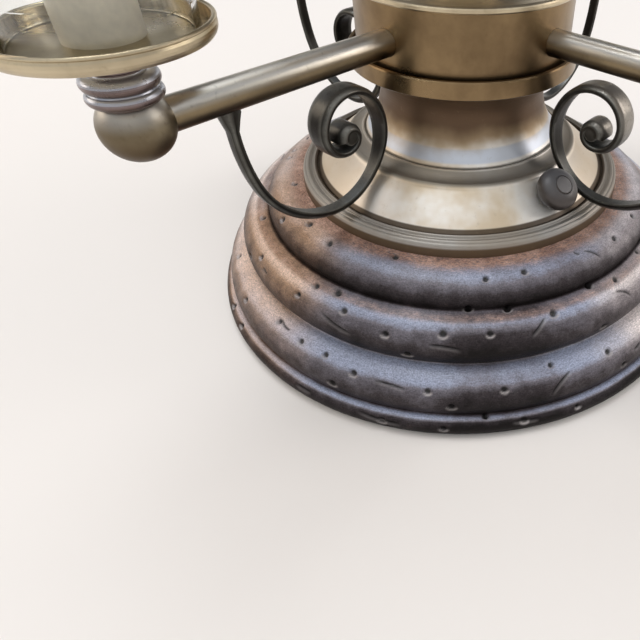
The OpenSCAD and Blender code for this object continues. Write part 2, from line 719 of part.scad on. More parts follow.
// Frame of the switch: origin on the foot's face, +Z along the switch's axis
face_slope = (shoulder_z - 2 - band_z) / (band_in_r - shoulder_r - 3.4);
switch_z = band_z + face_slope * (band_in_r - 1 - switch_at_r) + 0.2;
module switch_frame() {
    rotate([0, 0, switch_az]) translate([switch_at_r, 0, switch_z]) rotate([0, switch_tilt, 0]) children();
}

case_top = -foot_wall - 1;
shaft_foot_z = case_top - 5.5;
shaft_top_z = knob_gap + knob_h - 3;
module switch_body() {
    color("#2b2a2a") switch_frame() difference() {
        union() {
            translate([0, 0, case_top - case_len]) cylinder(r = case_r, h = case_len);
            translate([0, 0, case_top - 1]) cylinder(r = barrel_r, h = barrel_out - case_top + 1);
        }
        translate([0, 0, shaft_foot_z - 0.5]) cylinder(r = shaft_r + shaft_gap, h = shaft_top_z - shaft_foot_z + 1);
    }
}

module switch_nut() {
    color(brass) switch_frame() difference() {
        translate([0, 0, 0.4]) hex(ring_nut_af, ring_nut_h);
        translate([0, 0, -1]) cylinder(r = barrel_r + 0.05, h = ring_nut_h + 3);
    }
}

module switch_shaft() {
    color("#8a8a86") switch_frame() translate([0, 0, shaft_foot_z])
        cylinder(r = shaft_r, h = shaft_top_z - shaft_foot_z);
}

// Knob: narrow foot over the ring nut, short straight side and a dome with a small raised disc
knob_curve = 2.4;
knob_shoulder_h = knob_low_h + knob_side_h;
knob_rise = knob_h - knob_shoulder_h;
function knob_dome(r) = knob_shoulder_h + knob_rise * sqrt(max(0, 1 - pow(r / knob_r, knob_curve)));
function knob_under(t) = [knob_foot_r + (knob_r - knob_foot_r) * sin(90 * t), 0.3 + (knob_low_h - 0.3) * t];
module switch_knob() {
    hollow = barrel_out + 0.5;
    rim = knob_disc_r + 0.5;
    color("#3a3436") switch_frame() translate([0, 0, knob_gap]) difference() {
        turned(concat(
            [[0, 0], [knob_foot_r - 0.3, 0]],
            [for (i = [0:6]) knob_under(i / 6)],
            [for (i = [0:10]) let (r = rim + (knob_r - rim) * cos(9 * i)) [r, knob_dome(r)]],
            [[rim - 0.2, knob_dome(rim) - 0.3], [knob_disc_r, knob_h - 0.4]],
            [[knob_disc_r - 0.2, knob_h], [0, knob_h]]
        ));
        translate([0, 0, -1]) cylinder(r = ring_nut_af / 2 / cos(30) + 0.3, h = hollow + 1);
        cylinder(r = shaft_r + 0.02, h = shaft_top_z - knob_gap);
    }
}

felt_pad();
wood_base();
ballast();
cord_bushing();
base_washer();
base_nut();
lamp_pipe();
foot_shell();
neck_ring();
arm_hub();
hub_cap();
switch_body();
switch_nut();
switch_shaft();
switch_knob();
for (i = ARMS) {
    at_arm(i) arm_tube();
    at_arm(i) scroll();
    at_arm(i) ball();
    at_arm(i) candle_cup();
    at_arm(i) glass_pan();
    at_arm(i) candle_sleeve();
    at_arm(i) candle_bulb();
    at_arm(i) chimney();
}
arm_nipples();
candle_sockets();
column_foot();
column();
column_top();
gallery();
main_socket();
main_bulb();
main_chimney();
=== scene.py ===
import math

import bpy
import numpy as np
from mathutils import Matrix, Vector


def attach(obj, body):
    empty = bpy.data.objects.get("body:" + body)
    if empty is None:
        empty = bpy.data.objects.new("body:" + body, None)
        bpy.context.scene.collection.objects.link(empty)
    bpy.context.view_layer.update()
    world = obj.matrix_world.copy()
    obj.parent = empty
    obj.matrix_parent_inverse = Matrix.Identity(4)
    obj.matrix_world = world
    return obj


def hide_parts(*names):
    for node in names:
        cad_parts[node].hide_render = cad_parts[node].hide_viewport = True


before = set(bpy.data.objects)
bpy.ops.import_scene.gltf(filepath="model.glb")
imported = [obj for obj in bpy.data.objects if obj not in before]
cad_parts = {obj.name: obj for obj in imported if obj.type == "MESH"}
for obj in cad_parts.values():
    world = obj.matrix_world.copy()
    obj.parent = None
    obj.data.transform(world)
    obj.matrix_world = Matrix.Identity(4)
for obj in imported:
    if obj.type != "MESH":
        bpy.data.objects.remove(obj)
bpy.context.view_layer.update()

# Camera of the picture: place in millimetres, angles in degrees, and the shift of its off-centre crop
CAMERA_MM = (-26.01, -285.23, 222.36)
CAMERA_TURN, CAMERA_PITCH, CAMERA_ROLL = 6.2813, 40.1091, 2.0489
CAMERA_LENS, CAMERA_SENSOR = 32.438, 36
CAMERA_SHIFT = (-0.22796, -0.07037)
CAMERA_NEAR = 0.01

# Sizes in millimetres, the same as the solids
WOOD_H, FELT_T, BASE_R = 62.4, 1.2, 136.3
CREASE_1, CREASE_2, CREASE_3 = 49.8, 28.2, 9.4
WELL_R, WELL_FLOOR = 76, 42.4
CAVITY_R, CAVITY_TOP = 92, 30.4
ARM_Z, ARM_R, ARM_REACH = 140.1, 5.8, 156.7
SLEEVE_TOP, CANDLE_CAP_DEPTH = 230.9, 18.8
CANDLE_BULB_R, CANDLE_BULB_H, CANDLE_CAP_R = 15.5, 72, 6.1
MAIN_SOCKET_TOP, MAIN_CAP_DEPTH = 350.35, 27.8
MAIN_BULB_R, MAIN_BULB_H, MAIN_CAP_R = 24, 78, 13
ARMS = (1, 2, 3, 4)


def mm(*v):
    return Vector(v) / 1000


def arm_angle(i):
    return math.radians(90 * i - 45)


def arm_directions(i):
    """Outwards along an arm and sideways from it."""
    a = arm_angle(i)
    return Vector((math.cos(a), math.sin(a), 0)), Vector((-math.sin(a), math.cos(a), 0))


# Outlines
def bow(p, q, s, n=10):
    """An arc between two points that bulges to the left by s, or to the right where s is negative."""
    p, q = np.array(p, float), np.array(q, float)
    chord = np.linalg.norm(q - p)
    u = (q - p) / chord
    v = np.array([-u[1], u[0]])
    half = 2 * math.atan(2 * abs(s) / chord)
    radius = chord / (2 * math.sin(half))
    side = 1 if s > 0 else -1
    middle = (p + q) / 2
    return [tuple(middle + u * radius * math.sin(t) + v * side * radius * (math.cos(t) - math.cos(half)))
            for t in np.linspace(-half, half, n + 1)]


def oval(c, rx, rz, a, b, n=20):
    """A stretch of an ellipse between two angles."""
    t = np.radians(np.linspace(a, b, n + 1))
    return [(c[0] + rx * math.cos(q), c[1] + rz * math.sin(q)) for q in t]


def resample(points, step):
    """The outline in even steps, with the distance along it."""
    p = np.array(points, float)
    d = np.concatenate([[0], np.cumsum(np.linalg.norm(np.diff(p, axis=0), axis=1))])
    s = np.linspace(0, d[-1], max(2, int(d[-1] / step) + 1))
    return np.stack([np.interp(s, d, p[:, 0]), np.interp(s, d, p[:, 1])], 1), s


def ease(x, low, high):
    """0 below low, 1 above high and smooth between; low may be the larger."""
    t = np.clip((np.asarray(x, float) - low) / (high - low), 0, 1)
    return t * t * (3 - 2 * t)


# Meshes
def new_object(name, verts, faces, body, material, smooth=35):
    mesh = bpy.data.meshes.new(name)
    mesh.from_pydata([tuple(v) for v in verts], [], faces)
    mesh.update()
    mesh.polygons.foreach_set("use_smooth", [True] * len(mesh.polygons))
    mesh.set_sharp_from_angle(angle=math.radians(smooth))
    obj = bpy.data.objects.new(name, mesh)
    bpy.context.scene.collection.objects.link(obj)
    mesh.materials.append(material)
    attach(obj, body)
    return obj


def store(obj, name, values):
    """Keeps a number or a vector at each vertex, for the material to read."""
    values = np.asarray(values, np.float32)
    kind, field = ("FLOAT_VECTOR", "vector") if values.ndim == 2 else ("FLOAT", "value")
    obj.data.attributes.new(name, kind, "POINT").data.foreach_set(field, values.reshape(-1))


def ring_faces(rings, sides):
    """Quads from each ring of vertices to the next, and a face over both ends."""
    faces = []
    for k in range(rings - 1):
        for j in range(sides):
            n = (j + 1) % sides
            faces.append((k * sides + j, (k + 1) * sides + j, (k + 1) * sides + n, k * sides + n))
    faces.append(tuple(range(sides)))
    faces.append(tuple(reversed(range((rings - 1) * sides, rings * sides))))
    return faces


def lathe(name, outline, body, material, at, segs, closed):
    """Turns an outline of (radius, height) points; points on the axis become a single vertex."""
    verts, rings = [], []
    for r, z in outline:
        if r < 1e-6:
            rings.append([len(verts)])
            verts.append(mm(at[0], at[1], z))
        else:
            rings.append(list(range(len(verts), len(verts) + segs)))
            for k in range(segs):
                a = 2 * math.pi * k / segs
                verts.append(mm(at[0] + r * math.cos(a), at[1] + r * math.sin(a), z))
    faces = []
    for lo, hi in zip(rings, rings[1:] + ([rings[0]] if closed else [])):
        if len(lo) == 1 and len(hi) == 1:
            continue
        for k in range(segs):
            j = (k + 1) % segs
            if len(lo) == 1:
                faces.append((lo[0], hi[j], hi[k]))
            elif len(hi) == 1:
                faces.append((lo[k], lo[j], hi[0]))
            else:
                faces.append((lo[k], lo[j], hi[j], hi[k]))
    return new_object(name, verts, faces, body, material)


# Node materials
def opaque(colour):
    """A colour of three parts with a full fourth one; anything else as it is."""
    return (*colour, 1) if isinstance(colour, tuple) and len(colour) == 3 else colour


class Nodes:
    """Small helpers for a node tree."""

    def __init__(self, tree):
        self.tree = tree

    def add(self, kind, **settings):
        node = self.tree.nodes.new(kind)
        for key, value in settings.items():
            setattr(node, key, value)
        return node

    def put(self, node, name, value):
        socket = node.inputs[name]
        if isinstance(value, bpy.types.NodeSocket):
            self.tree.links.new(value, socket)
        else:
            socket.default_value = value

    def ramp(self, fac, *stops):
        node = self.add("ShaderNodeValToRGB")
        self.put(node, "Fac", fac)
        band = node.color_ramp
        while len(band.elements) < len(stops):
            band.elements.new(0.5)
        for element, (at, colour) in zip(band.elements, stops):
            element.position = at
            element.color = opaque(colour)
        return node.outputs["Color"]

    def math(self, kind, a, b=0.0, c=0.0):
        node = self.add("ShaderNodeMath", operation=kind)
        for index, value in enumerate((a, b, c)):
            self.put(node, index, value)
        return node.outputs[0]

    def mix(self, fac, a, b):
        node = self.add("ShaderNodeMix", data_type="RGBA")
        for index, value in ((0, fac), (6, opaque(a)), (7, opaque(b))):
            self.put(node, index, value)
        return node.outputs[2]

    def split(self, vector):
        node = self.add("ShaderNodeSeparateXYZ")
        self.put(node, "Vector", vector)
        return node.outputs


class Shader(Nodes):
    """Small helpers for a material."""

    def __init__(self, name):
        self.material = bpy.data.materials.new(name)
        self.material.use_nodes = True
        super().__init__(self.material.node_tree)
        self.main = self.tree.nodes["Principled BSDF"]
        self.place = self.add("ShaderNodeTexCoord").outputs["Object"]

    def noise(self, scale, detail=4, rough=0.55, stretch=None, vector=None):
        source = vector or self.place
        if stretch:
            mapping = self.add("ShaderNodeMapping")
            self.put(mapping, "Vector", source)
            self.put(mapping, "Scale", stretch)
            source = mapping.outputs[0]
        node = self.add("ShaderNodeTexNoise")
        for key, value in (("Vector", source), ("Scale", scale), ("Detail", detail), ("Roughness", rough)):
            self.put(node, key, value)
        return node.outputs["Fac"]

    def attribute(self, name, output="Fac"):
        return self.add("ShaderNodeAttribute", attribute_name=name).outputs[output]

    def level(self, fac, low, high):
        """0 to 1 as the value goes from low to high; low may be the larger."""
        node = self.add("ShaderNodeMapRange", interpolation_type="SMOOTHSTEP")
        for key, value in (("Value", fac), ("From Min", low), ("From Max", high)):
            self.put(node, key, value)
        return node.outputs["Result"]

    def grey(self, fac, low, high, end=0.7):
        """low to high as the noise goes from 0.3 to end."""
        return self.ramp(fac, (0.3, (low,) * 3), (end, (high,) * 3))

    def times(self, a, b):
        return self.math("MULTIPLY", a, b)

    def vary(self, base, noise, by):
        """The base value, moved up and down with a noise."""
        return self.math("MULTIPLY_ADD", self.math("SUBTRACT", noise, 0.5), by, base)

    def cover(self, colour, mask, share, tint):
        """The colour with a share of the tint over it where the mask is."""
        return self.mix(self.times(mask, share), colour, tint)

    def scaled(self, colour, by):
        node = self.add("ShaderNodeVectorMath", operation="SCALE")
        self.put(node, 0, colour)
        self.put(node, "Scale", by)
        return node.outputs[0]

    def facing(self):
        """Parts of the direction the surface faces, each from -1 to 1."""
        return self.split(self.add("ShaderNodeNewGeometry").outputs["Normal"])

    def up(self):
        return self.facing()["Z"]

    def hollow(self, amount):
        """Up to the amount in grooves and inner corners."""
        edge = self.add("ShaderNodeNewGeometry").outputs["Pointiness"]
        return self.times(self.level(edge, 0.49, 0.42), amount)

    def bump(self, height, distance, strength=1.0, below=None):
        node = self.add("ShaderNodeBump")
        self.put(node, "Height", height)
        self.put(node, "Distance", distance)
        self.put(node, "Strength", strength)
        if below is not None:
            self.put(node, "Normal", below)
        return node.outputs[0]

    def turned_lines(self, distance, strength, below):
        """Fine level lines that turning or spinning leaves."""
        return self.bump(self.noise(260, 3, 0.5, stretch=(0.02, 0.02, 6)), distance, strength, below)

    def finish(self, **inputs):
        for key, value in inputs.items():
            self.put(self.main, key.replace("_", " "), value)
        return self.material


def base_wood():
    """Dark stain with painted light: a blue-grey painted sky reflection on the upper faces in front, tan at
    the left (partly the stain, partly painted light), a pale painted sheen at the right, and painted shade
    beneath the rolls and in the creases.
    """
    s = Shader("stained_wood")
    coarse = s.noise(14, 4, 0.65)
    blotch = s.noise(34, 4, 0.6)
    middle = s.noise(120, 5, 0.7)
    grain = s.noise(1, 3, 0.6, vector=s.attribute("grain", "Vector"))
    speck = s.noise(1500, 3, 0.7)
    # The painted light down the outline, varied at random in patches
    painted_light = s.vary(s.vary(s.attribute("painted_light"), blotch, 0.4), middle, 0.5)
    # Three palettes of the stain, each from the painted shade at 0 to the painted highlight at 1: blue-grey
    # in front, tan at the left, pale at the right
    cool = s.ramp(painted_light, (0.0, (0.008, 0.006, 0.006)), (0.3, (0.042, 0.034, 0.037)),
                  (0.6, (0.14, 0.128, 0.152)), (0.92, (0.3, 0.335, 0.45)))
    warm = s.ramp(painted_light, (0.0, (0.012, 0.007, 0.005)), (0.32, (0.085, 0.045, 0.026)),
                  (0.62, (0.3, 0.172, 0.095)), (1.0, (0.66, 0.47, 0.36)))
    pale = s.ramp(painted_light, (0.0, (0.024, 0.018, 0.018)), (0.3, (0.13, 0.11, 0.115)),
                  (0.62, (0.36, 0.31, 0.31)), (1.0, (0.8, 0.71, 0.68)))
    red = s.ramp(middle, (0.3, (0.2, 0.1, 0.068)), (0.7, (0.52, 0.33, 0.25)))
    # Shares of the tan side, partly the stain and partly painted light, and of the pale painted sheen
    warm_share = s.level(s.vary(s.attribute("warm"), coarse, 1.0), 0.1, 0.9)
    pale_share = s.level(s.vary(s.attribute("pale"), blotch, 0.8), 0.15, 0.95)
    seat = s.level(s.vary(s.attribute("seat"), middle, 1.0), 0.1, 1.0)
    colour = s.mix(pale_share, s.mix(warm_share, cool, warm), pale)
    colour = s.cover(colour, seat, s.level(grain, 0.2, 0.62), red)
    fleck = s.vary(s.vary(1.0, speck, 2.2), grain, 1.1)
    colour = s.scaled(colour, s.math("MAXIMUM", fleck, 0.25))
    # Painted shade in the wormholes and cuts, and painted highlights on their lit lips and ridges
    colour = s.mix(s.attribute("pit"), colour, (0.003, 0.002, 0.002))
    colour = s.cover(colour, s.attribute("lip"), 0.75, (0.5, 0.46, 0.45))
    relief = s.bump(speck, 0.0003, 0.35, s.bump(grain, 0.0003, 0.4))
    # Coat and specular follow the painted light, weaker in the painted shade
    sheen = s.level(painted_light, 0.15, 0.75)
    return s.finish(Base_Color=colour, Roughness=s.grey(grain, 0.38, 0.54), Normal=relief,
                    Coat_Weight=s.times(sheen, 0.4), Coat_Roughness=0.34,
                    Specular_IOR_Level=s.math("MULTIPLY_ADD", sheen, 0.4, 0.12))


def column_wood():
    """The same stain on the turned column, with its grain running up."""
    s = Shader("turned_wood")
    middle = s.noise(60, 5, 0.6)
    grain = s.noise(900, 4, 0.6, stretch=(1, 1, 0.12))
    dark = s.ramp(grain, (0.3, (0.03, 0.022, 0.022)), (0.7, (0.11, 0.075, 0.062)))
    rubbed = s.ramp(grain, (0.3, (0.17, 0.09, 0.055)), (0.7, (0.36, 0.22, 0.14)))
    colour = s.mix(s.level(middle, 0.45, 0.72), dark, rubbed)
    colour = s.mix(s.hollow(0.8), colour, (0.014, 0.009, 0.008))
    return s.finish(Base_Color=colour, Roughness=s.grey(middle, 0.38, 0.54),
                    Normal=s.bump(grain, 0.0003, 0.5), Coat_Weight=0.3, Coat_Roughness=0.34)


def aged_brass(name, light, dark, patina=0.5, rough=(0.24, 0.4), turned=True, bright=None, shade_under=0.85):
    """Satin brass with brown patina in patches, a painted highlight on top where asked, and painted shade
    underneath.
    """
    s = Shader(name)
    cloud = s.noise(24, 5, 0.6)
    fine = s.noise(420, 4, 0.65)
    colour = s.mix(s.times(s.level(cloud, 0.4, 0.7), patina), light, dark)
    # Painted highlight where the part faces up
    if bright:
        colour = s.mix(s.level(s.up(), 0.05, 0.75), colour, bright)
    # Painted shade where the part faces down
    colour = s.cover(colour, s.level(s.up(), 0.1, -0.6), shade_under, dark)
    colour = s.cover(colour, s.level(fine, 0.55, 0.8), 0.3, dark)
    colour = s.mix(s.hollow(0.8), colour, (0.045, 0.028, 0.017))
    normal = s.bump(fine, 0.00006, 0.3)
    if turned:
        normal = s.turned_lines(0.00012, 0.25, normal)
    return s.finish(Base_Color=colour, Metallic=1.0, Normal=normal,
                    Roughness=s.grey(cloud, *rough, 0.75))


def foot_brass():
    """The spun foot: cream satin face, a painted highlight in the cove, greyer band and shoulder, brown up
    the bell, dark grooves.
    """
    s = Shader("foot_brass")
    x, y, z = s.split(s.place)
    radius = s.math("SQRT", s.math("MULTIPLY_ADD", x, x, s.times(y, y)))
    cloud = s.noise(22, 4, 0.6)
    fine = s.noise(380, 4, 0.65)

    def between(low, high):
        """1 between two heights in metres."""
        return s.times(s.level(z, low, low + 0.0012), s.level(z, high + 0.0012, high))

    colour = s.mix(s.level(cloud, 0.42, 0.68), (0.9, 0.885, 0.85), (0.68, 0.57, 0.42))
    # The face towards its sides, the cove with its painted highlight, the shoulder and the beaded band with
    # its dark groove
    colour = s.cover(colour, s.level(s.math("ABSOLUTE", x), 0.034, 0.062), 0.75, (0.66, 0.54, 0.39))
    # Painted blue-white highlight in the cove
    colour = s.cover(colour, between(0.0885, 0.094), 0.85, (0.6, 0.66, 0.76))
    colour = s.cover(colour, between(0.0828, 0.0868), 0.85, (0.2, 0.18, 0.15))
    colour = s.cover(colour, s.level(radius, 0.0762, 0.077), 0.8, (0.27, 0.255, 0.235))
    groove = s.times(s.level(radius, 0.0742, 0.0748), s.level(radius, 0.0786, 0.078))
    colour = s.cover(colour, groove, 0.92, (0.07, 0.047, 0.028))
    # The bell, browner upwards from an uneven edge, and the flange's lowest edge
    edge = s.vary(z, cloud, 0.016)
    colour = s.mix(s.level(edge, 0.091, 0.1), colour, (0.34, 0.25, 0.15))
    colour = s.mix(s.level(edge, 0.096, 0.105), colour, (0.12, 0.075, 0.045))
    colour = s.cover(colour, s.level(z, 0.0672, 0.066), 0.9, (0.12, 0.078, 0.04))
    colour = s.cover(colour, s.level(fine, 0.58, 0.8), 0.25, (0.26, 0.19, 0.12))
    colour = s.mix(s.hollow(0.5), colour, (0.045, 0.03, 0.018))
    normal = s.turned_lines(0.0001, 0.22, s.bump(fine, 0.00006, 0.3))
    return s.finish(Base_Color=colour, Metallic=0.82, Normal=normal,
                    Roughness=s.grey(cloud, 0.42, 0.54, 0.75))


def gunmetal():
    """Dark bronze strip with painted light: greyer where it faces up, a painted lit side where its outer
    side faces right and up, and lighter along its bevels, partly rubbed and partly painted highlight.
    """
    s = Shader("gunmetal")
    cloud = s.noise(45, 5, 0.6)
    fine = s.noise(800, 4, 0.65)
    dark = s.ramp(cloud, (0.3, (0.009, 0.008, 0.007)), (0.7, (0.022, 0.018, 0.014)))
    grey = s.ramp(cloud, (0.3, (0.06, 0.064, 0.064)), (0.7, (0.16, 0.16, 0.148)))
    # Painted light: greyer where the strip faces up
    colour = s.mix(s.level(s.up(), 0.25, 1.0), dark, grey)
    # Lighter along the bevels, partly rubbed and partly painted highlight
    colour = s.cover(colour, s.attribute("edge"), 0.4, (0.3, 0.3, 0.27))
    # Painted light on the outer side where it faces right and up, most on the front right strip
    facing = s.facing()
    turned = s.level(s.math("ADD", facing["X"], facing["Z"]), 0.0, 0.9)
    colour = s.cover(colour, s.attribute("lit_side"), turned, (0.33, 0.305, 0.27))
    colour = s.cover(colour, s.level(fine, 0.5, 0.75), 0.4, (0.03, 0.027, 0.024))
    return s.finish(Base_Color=colour, Metallic=0.75, Roughness=s.grey(fine, 0.28, 0.42, 0.75),
                    Normal=s.bump(fine, 0.0001, 0.4), Specular_IOR_Level=0.2)


def plain(name, colour, rough, metal=0.0, grain=900, depth=0.00005, spread=0.12, coat=0.0):
    """A plain finish with a little mottling and grain."""
    s = Shader(name)
    fine = s.noise(grain, 4, 0.6)
    low = tuple(c * (1 - spread) for c in colour)
    high = tuple(min(1, c * (1 + spread)) for c in colour)
    return s.finish(Base_Color=s.ramp(fine, (0.3, low), (0.7, high)), Metallic=metal,
                    Roughness=s.grey(s.noise(60, 3), rough * 0.9, rough * 1.1),
                    Normal=s.bump(fine, depth, 0.5), Coat_Weight=coat, Coat_Roughness=0.12)


def dark_copper():
    """Glossy purple-brown beads, with a painted blue-grey highlight on top and painted shade underneath."""
    s = Shader("dark_copper")
    cloud = s.noise(160, 4, 0.6)
    colour = s.ramp(cloud, (0.3, (0.12, 0.085, 0.08)), (0.7, (0.22, 0.165, 0.155)))
    # Painted blue-grey highlight where the beads face up
    colour = s.mix(s.level(s.up(), 0.0, 0.55), colour, (0.5, 0.53, 0.6))
    # Painted shade where they face down
    colour = s.cover(colour, s.level(s.up(), 0.0, -0.6), 0.85, (0.07, 0.04, 0.028))
    return s.finish(Base_Color=colour, Metallic=0.85, Roughness=s.grey(cloud, 0.24, 0.38),
                    Normal=s.bump(s.noise(500, 3), 0.00008, 0.4), Coat_Weight=0.3, Coat_Roughness=0.15)


def knob_black():
    """Black plastic, painted lighter grey where it faces up and painted dark brown shade underneath."""
    s = Shader("knob_plastic")
    fine = s.noise(700, 4, 0.6)
    cloud = s.noise(120, 4, 0.6)
    colour = s.ramp(cloud, (0.3, (0.03, 0.023, 0.02)), (0.7, (0.055, 0.043, 0.037)))
    # Painted light where the knob faces up
    colour = s.mix(s.level(s.up(), 0.35, 1.0), colour, (0.095, 0.095, 0.102))
    # Painted shade where it faces down
    colour = s.cover(colour, s.level(s.up(), 0.1, -0.5), 0.8, (0.016, 0.012, 0.01))
    return s.finish(Base_Color=colour, Roughness=s.grey(fine, 0.36, 0.5),
                    Normal=s.bump(fine, 0.00014, 0.5), Coat_Weight=0.2, Coat_Roughness=0.2)


def glass(name, colour):
    s = Shader(name)
    return s.finish(Base_Color=opaque(colour), Roughness=0.012, Transmission_Weight=1.0, IOR=1.46,
                    Normal=s.bump(s.noise(26, 2, 0.4), 0.0008, 0.12))


wood = base_wood()
turned_wood = column_wood()
foot_metal = foot_brass()
antique = aged_brass("antique_brass", (0.62, 0.53, 0.37), (0.2, 0.14, 0.08), shade_under=0.2)
ring_metal = aged_brass("ring_brass", (0.26, 0.18, 0.095), (0.13, 0.085, 0.045), 0.8)
# Tubes and balls with a painted highlight on top
tube_metal = aged_brass("tube_brass", (0.24, 0.185, 0.11), (0.05, 0.036, 0.025), 0.4, turned=False,
                        bright=(0.62, 0.59, 0.53))
ball_metal = aged_brass("ball_brass", (0.25, 0.21, 0.14), (0.08, 0.052, 0.027), 0.6, (0.32, 0.46), False,
                        (0.5, 0.48, 0.44))
copper = dark_copper()
bronze = gunmetal()
steel = plain("steel", (0.55, 0.55, 0.54), 0.3, 1.0)
plain_brass = plain("plain_brass", (0.62, 0.48, 0.24), 0.3, 1.0)
iron = plain("iron", (0.07, 0.065, 0.06), 0.6, 0.7, 400, 0.0003, 0.4)
felt = plain("felt", (0.03, 0.05, 0.038), 0.95, 0.0, 3000, 0.0003, 0.4)
black = plain("black_plastic", (0.02, 0.02, 0.02), 0.45)
knob_plastic = knob_black()
ivory = plain("ivory", (0.8, 0.72, 0.56), 0.35, 0.0, 300, 0.0001, 0.08, 0.2)
porcelain = plain("porcelain", (0.75, 0.72, 0.66), 0.3)
clear_glass = glass("clear_glass", (0.97, 0.985, 0.98))
bulb_glass = glass("bulb_glass", (0.99, 0.985, 0.96))
filament = plain("filament", (0.3, 0.25, 0.2), 0.4, 0.9)


# Materials of the solids that show as they are
def dress(material, *names):
    for n in names:
        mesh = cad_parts[n].data
        mesh.materials.clear()
        mesh.materials.append(material)
        mesh.polygons.foreach_set("use_smooth", [True] * len(mesh.polygons))
        mesh.set_sharp_from_angle(angle=math.radians(28))


def numbered(name):
    return [f"{name}_{i}" for i in ARMS]


dress(foot_metal, "foot_shell")
dress(ring_metal, "neck_ring", "arm_hub")
dress(antique, "hub_cap", "column_foot", "column_top", "gallery", "main_socket", *numbered("glass_pan"))
dress(tube_metal, *numbered("arm_tube"))
dress(ball_metal, *numbered("ball"))
dress(copper, *numbered("candle_cup"))
dress(plain_brass, "base_washer", "base_nut", "lamp_pipe", "arm_nipples", "switch_nut")
dress(steel, "switch_shaft")
dress(iron, "ballast")
dress(felt, "felt_pad")
dress(black, "cord_bushing", "switch_body")
dress(ivory, *numbered("candle_sleeve"))
dress(porcelain, "candle_sockets")
dress(turned_wood, "column")
dress(clear_glass, "main_chimney", *numbered("chimney"))
dress(knob_plastic, "switch_knob")

# Wood base: the turned outline on a fine grid, with wormholes and tool marks sunk into it
WOOD_STEP = 0.6
WOOD_SEGS = 1280
TOP_B = (WOOD_H - CREASE_1) * 0.865
MIDDLE_B = (CREASE_1 - CREASE_2) * 0.605
BOTTOM_B = (CREASE_2 - FELT_T) * 0.48
TOP_END = math.degrees(math.asin((CREASE_1 - WOOD_H + TOP_B) / TOP_B))
LAP = 0.2
LIP_R = 4.8
FLAT_R = 87
# The three rolls and the lip: middle, half width and height, first and last angle, and steps
WOOD_ARCS = [
    ((88, WOOD_H - TOP_B), 17, TOP_B, 90, TOP_END, 60),
    ((104, CREASE_1 + LAP - MIDDLE_B), 16.5, MIDDLE_B, 86, -40, 60),
    ((115, CREASE_2 - LAP - BOTTOM_B), 16.8, BOTTOM_B, 83, -25, 60),
    ((BASE_R - LIP_R, LIP_R), LIP_R, LIP_R, 104, -48, 24),
]
CREASES = ((104.8, CREASE_1), (116.6, CREASE_2), (130.2, CREASE_3))
INNER_RINGS = ((CAVITY_R, FELT_T), (CAVITY_R, CAVITY_TOP), (WELL_R, WELL_FLOOR))
# Wormholes that the picture shows, as angle and distance down the outline
SEEN_HOLES = [
    (226.2, 19.6), (209.2, 49.2), (204, 56), (193.3, 78.4), (208.8, 82.4), (202.5, 100.4), (209.5, 101.2),
    (229.5, 42), (226.5, 50), (235.5, 40.4), (239.3, 47.2), (221.8, 76), (229.8, 77.6), (236.7, 77.6),
    (244, 80.8), (239.8, 89.2), (249.8, 52), (254.7, 60.4), (259.5, 82), (246.5, 13.2), (251, 103.2),
    (272, 21.6), (282.5, 20.4), (267.5, 35.6), (276.8, 37.2), (299.5, 37), (307.2, 41.2), (287, 44),
    (262, 48.4), (272, 48.4), (299, 59.6), (299, 78.8), (285.2, 74.4), (302.2, 89.2), (274.5, 81.6),
    (264.2, 88.8), (270.8, 97.2), (278.2, 101.6), (289.5, 102), (262.8, 103.2), (320.8, 38.4),
    (171.8, 20.8), (191.2, 14), (195.5, 40), (205.8, 26.4), (215, 17.6), (328.2, 22.8), (314.5, 22.8),
]
# Tool marks that the picture shows: both ends as angle and distance down the outline, and bend
SEEN_SLASHES = [
    (299, 17.6, 300.4, 20, 0.3), (302, 19.2, 305.6, 26, -0.9), (280.5, 51.6, 284.8, 44, 0.5),
    (284, 88, 289.2, 79.2, -0.9), (304.2, 45.6, 308.5, 52.8, -1.6), (305.6, 84.6, 308, 83.4, 0.4),
    (259, 53.6, 266, 55.2, -0.6), (275.8, 101, 281.2, 101.8, 0.4), (234, 51.2, 242.5, 56, 0.8),
    (248.5, 80.8, 255.5, 82.4, -0.4), (246, 101.2, 255, 103, 0.8), (221.8, 73.6, 226, 76, 1.2),
    (212, 51.4, 214.5, 52.4, 0.2), (231.5, 101.6, 235.5, 102, 0.3),
]
# Marks round the back: how many, between which angles, and near which distances down the outline
MORE_HOLES, HOLE_ANGLES, HOLE_ROWS = 66, (330, 528), [16, 23, 41, 48, 55, 76, 82, 89, 101]
MORE_SLASHES, SLASH_ANGLES, SLASH_ROWS = 22, (332, 525), [20, 46, 52, 80, 86, 101]
# Painted light and shade down the outline, light on the upper faces of the rolls and dark beneath them
# and in the creases: counted from (0) its start or (1 to 3) a crease, at a distance, how light it is painted
PAINTED_LIGHT_STOPS = [
    (0, 0, 0.45), (0, 12, 0.5), (0, 16, 0.75), (0, 21, 0.8), (1, -9, 0.45), (1, -4, 0.14), (1, -1, 0.02),
    (1, 0.4, 0.02), (1, 1.4, 0.5), (1, 6, 0.65), (1, 8, 0.98), (1, 10.5, 0.8), (1, 13, 0.5), (1, 17, 0.38),
    (2, -10, 0.2), (2, -4, 0.05), (2, -0.2, 0.0), (2, 0.5, 0.7), (2, 2, 0.95), (2, 6, 1.0), (2, 10.5, 0.92),
    (2, 14, 0.52), (2, 18, 0.36), (3, -4, 0.22), (3, -0.6, 0.14), (3, 0.3, 0.7), (3, 1.5, 1.0), (3, 3, 0.85),
    (3, 4.2, 0.35), (3, 6, 0.18), (3, 9, 0.06), (3, 12, 0.0),
]


